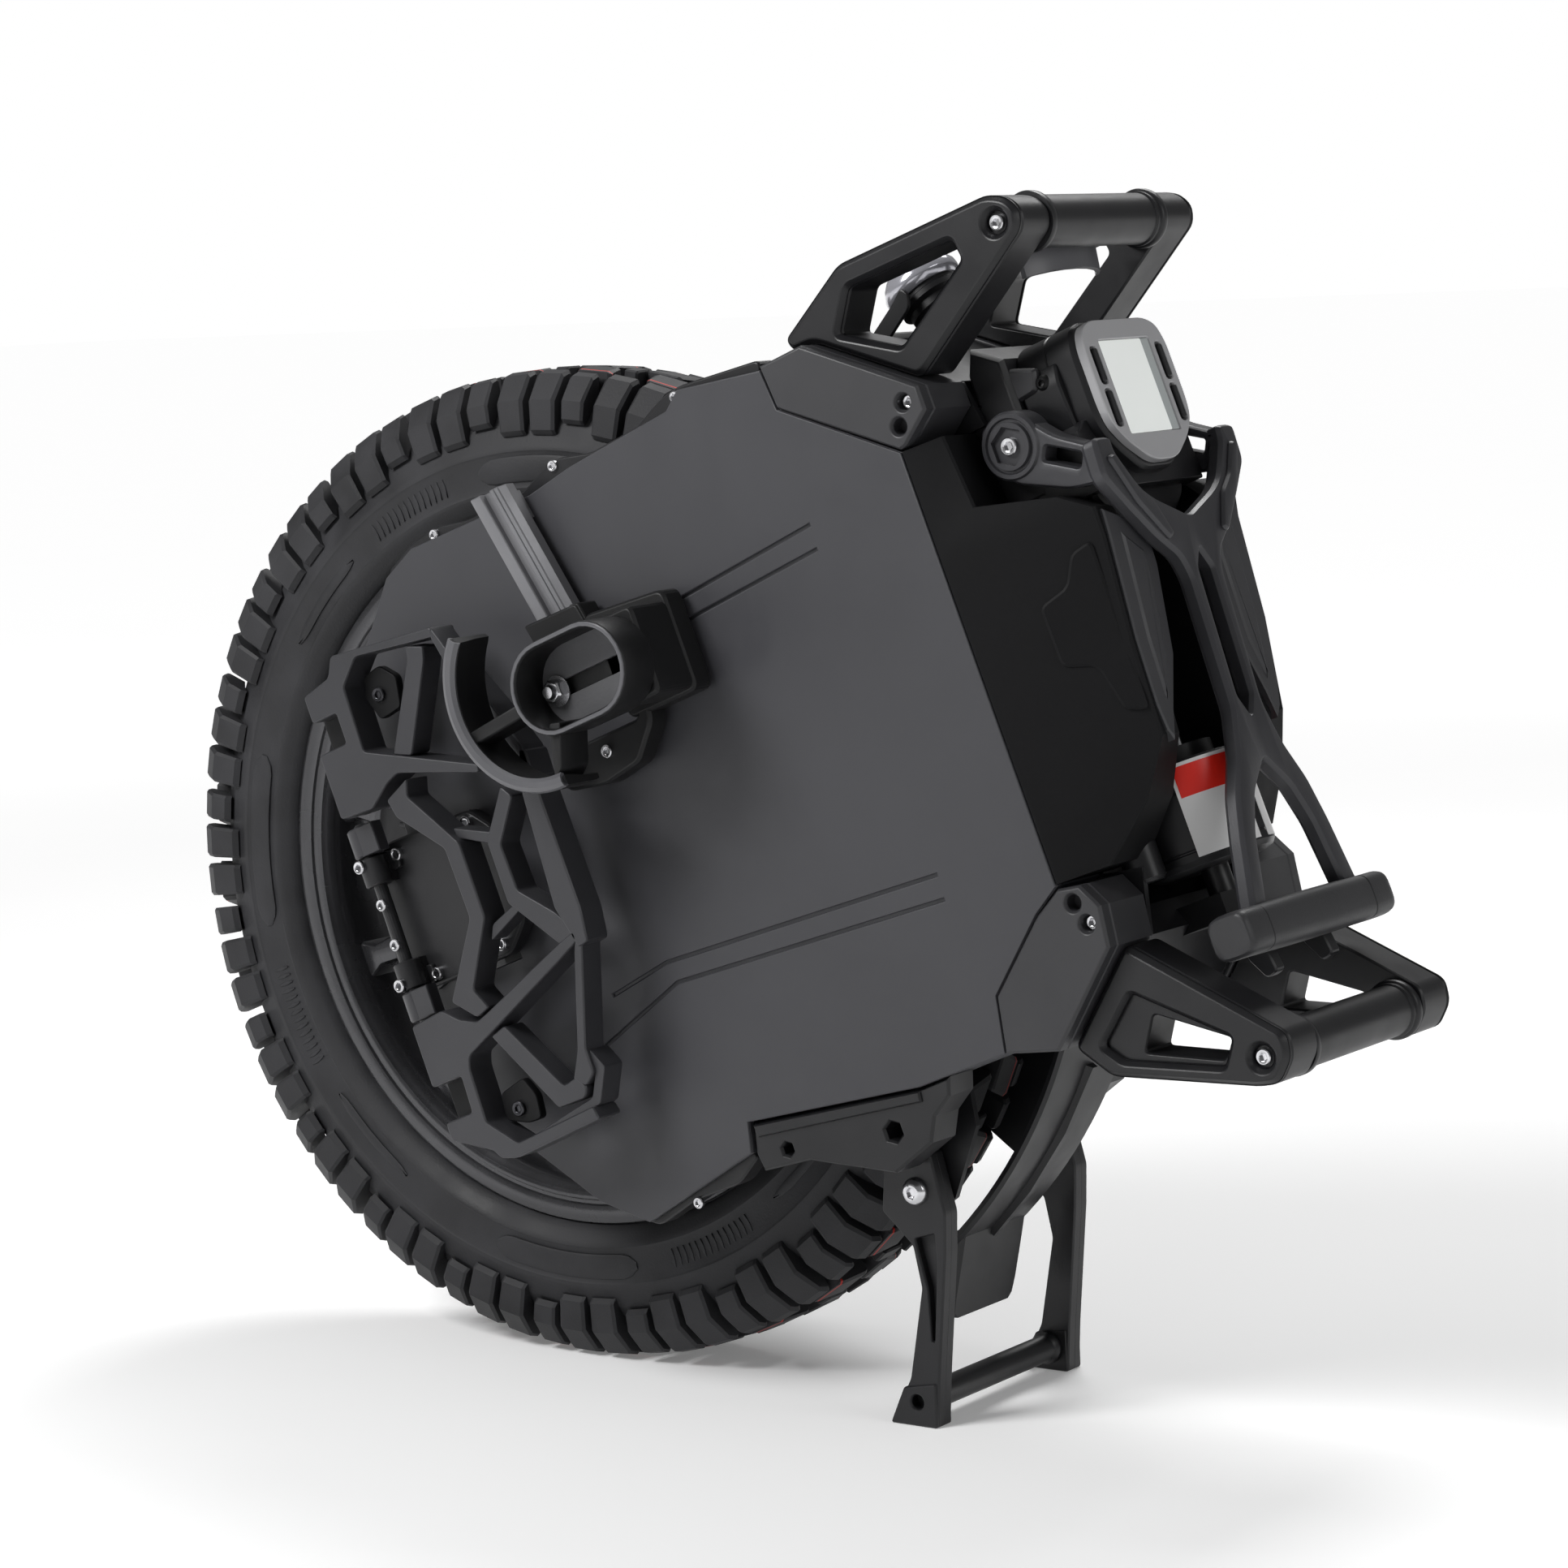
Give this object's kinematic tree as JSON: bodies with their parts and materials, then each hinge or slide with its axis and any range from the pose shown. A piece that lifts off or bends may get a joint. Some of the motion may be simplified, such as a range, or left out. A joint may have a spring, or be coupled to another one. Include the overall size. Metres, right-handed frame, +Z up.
{
  "type": "electric unicycle",
  "caption": "Off-road electric unicycle with suspension, folding pedals, trolley handle and kickstand, parked leaning back on its stand.",
  "frame": {"origin": "on the floor, at the centre of the parked machine's footprint", "axes": "+X the way the wheel rolls forward, +Y to the rider's left, +Z up; the machine leans back 69 degrees on its kickstand"},
  "size_m": [0.8226, 0.372, 0.6891],
  "materials": {
    "body_plastic": "satin black moulded plastic",
    "panel_paint": "satin dark grey powder coat",
    "cast_black": "black anodised cast alloy",
    "tyre_rubber": "matt black rubber",
    "soft_rubber": "matt moulded rubber",
    "rim_alloy": "satin black alloy",
    "motor_alloy": "black painted alloy",
    "bolt_steel": "zinc plated steel",
    "rail_alloy": "grey anodised extrusion",
    "bezel": "gloss grey plastic",
    "screen": "pale display window, switched off",
    "lens": "clear lens",
    "battery": "black battery case"
  },
  "bodies": {
    "chassis": {"centre_frame": "cast_black", "battery_pack_left": "battery", "battery_pack_right": "battery", "side_panel_left": "panel_paint", "side_panel_right": "panel_paint", "corner_block_front_left": "body_plastic", "corner_block_front_right": "body_plastic", "corner_block_rear_left": "body_plastic", "corner_block_rear_right": "body_plastic", "lower_guard_left": "body_plastic", "lower_guard_right": "body_plastic", "front_fender": "body_plastic", "rear_mudguard": "body_plastic", "deck_cover_left": "body_plastic", "deck_cover_right": "body_plastic", "charge_port_cover": "soft_rubber", "controller_box": "body_plastic", "handle_arm_front_left": "cast_black", "handle_arm_front_right": "cast_black", "handle_arm_rear_left": "cast_black", "handle_arm_rear_right": "cast_black", "handle_bar_front": "cast_black", "handle_bar_rear": "cast_black", "kickstand_bolt_left": "bolt_steel", "kickstand_bolt_right": "bolt_steel", "display_housing": "body_plastic", "display_bezel": "bezel", "display_screen": "screen", "shock_can": "cast_black", "headlight_bracket": "body_plastic", "trolley_bolt_left": "bolt_steel", "trolley_bolt_right": "bolt_steel", "pad_rail_left": "rail_alloy", "pad_rail_right": "rail_alloy"},
    "carriage": {"axle": "bolt_steel", "hanger_left": "cast_black", "hanger_right": "cast_black"},
    "wheel": {"tyre": "tyre_rubber", "rim": "rim_alloy", "hub_motor": "motor_alloy"},
    "pedal_left": {"pedal_left": "cast_black"},
    "pedal_right": {"pedal_right": "cast_black"},
    "shock_shaft": {"shock_shaft": "bolt_steel"},
    "headlight": {"headlight_body": "body_plastic", "headlight_lens": "lens"},
    "trolley": {"trolley_frame": "cast_black", "trolley_grip": "soft_rubber"},
    "kickstand": {"kickstand_leg_left": "cast_black", "kickstand_leg_right": "cast_black", "kickstand_bar": "cast_black"},
    "pad_bracket_left": {"pad_bracket_left": "body_plastic", "pad_bolt_left": "bolt_steel"},
    "pad_bracket_right": {"pad_bracket_right": "body_plastic", "pad_bolt_right": "bolt_steel"},
    "power_pad_left": {"power_pad_left": "body_plastic"},
    "power_pad_right": {"power_pad_right": "body_plastic"},
    "button_1": {"display_button_1": "body_plastic"},
    "button_2": {"display_button_2": "body_plastic"},
    "button_3": {"display_button_3": "body_plastic"},
    "button_4": {"display_button_4": "body_plastic"}
  },
  "joints": [
    {"name": "suspension", "type": "slide", "parent": "chassis", "child": "carriage", "axis": [-0.9336, 0, 0.3584], "range_m": [0, 0.06], "stiffness_N_per_m": 12000, "springref_m": -0.03},
    {"name": "wheel_spin", "type": "hinge", "parent": "carriage", "child": "wheel", "pos_m": [0.11145, 0, 0.3], "axis": [0, 1, 0], "continuous": true},
    {"name": "pedal_left_fold", "type": "hinge", "parent": "carriage", "child": "pedal_left", "pos_m": [0.16934, 0.13, 0.27778], "axis": [-0.3584, 0, -0.9336], "range_deg": [0, 90]},
    {"name": "pedal_right_fold", "type": "hinge", "parent": "carriage", "child": "pedal_right", "pos_m": [0.16934, -0.13, 0.27778], "axis": [0.3584, 0, 0.9336], "range_deg": [0, 90]},
    {"name": "shock_stroke", "type": "slide", "parent": "chassis", "child": "shock_shaft", "axis": [-0.3584, 0, -0.9336], "range_m": [0, 0.03]},
    {"name": "headlight_tilt", "type": "hinge", "parent": "chassis", "child": "headlight", "pos_m": [-0.14134, 0, 0.63483], "axis": [0, 1, 0], "range_deg": [-12, 12]},
    {"name": "trolley_lift", "type": "hinge", "parent": "chassis", "child": "trolley", "pos_m": [-0.23972, 0, 0.55156], "axis": [0, 1, 0], "range_deg": [0, 85]},
    {"name": "kickstand_fold", "type": "hinge", "parent": "chassis", "child": "kickstand", "pos_m": [-0.16054, 0, 0.13555], "axis": [0, 1, 0], "range_deg": [0, 95]},
    {"name": "button_1_press", "type": "slide", "parent": "chassis", "child": "button_1", "axis": [0.9336, 0, -0.3584], "range_m": [0, 0.0015], "stiffness_N_per_m": 800},
    {"name": "button_2_press", "type": "slide", "parent": "chassis", "child": "button_2", "axis": [0.9336, 0, -0.3584], "range_m": [0, 0.0015], "stiffness_N_per_m": 800},
    {"name": "button_3_press", "type": "slide", "parent": "chassis", "child": "button_3", "axis": [0.9336, 0, -0.3584], "range_m": [0, 0.0015], "stiffness_N_per_m": 800},
    {"name": "button_4_press", "type": "slide", "parent": "chassis", "child": "button_4", "axis": [0.9336, 0, -0.3584], "range_m": [0, 0.0015], "stiffness_N_per_m": 800},
    {"name": "pad_bracket_left_slide", "type": "slide", "parent": "chassis", "child": "pad_bracket_left", "axis": [0.5491, 0, 0.8357], "range_m": [0, 0.045]},
    {"name": "power_pad_left_slide", "type": "slide", "parent": "pad_bracket_left", "child": "power_pad_left", "axis": [0.9336, 0, -0.3584], "range_m": [0, 0.033]},
    {"name": "pad_bracket_right_slide", "type": "slide", "parent": "chassis", "child": "pad_bracket_right", "axis": [0.5491, 0, 0.8357], "range_m": [0, 0.045]},
    {"name": "power_pad_right_slide", "type": "slide", "parent": "pad_bracket_right", "child": "power_pad_right", "axis": [0.9336, 0, -0.3584], "range_m": [0, 0.033]}
  ],
  "couplings": [
    {"joint": "shock_stroke", "follows": "suspension", "ratio": 0.45}
  ]
}
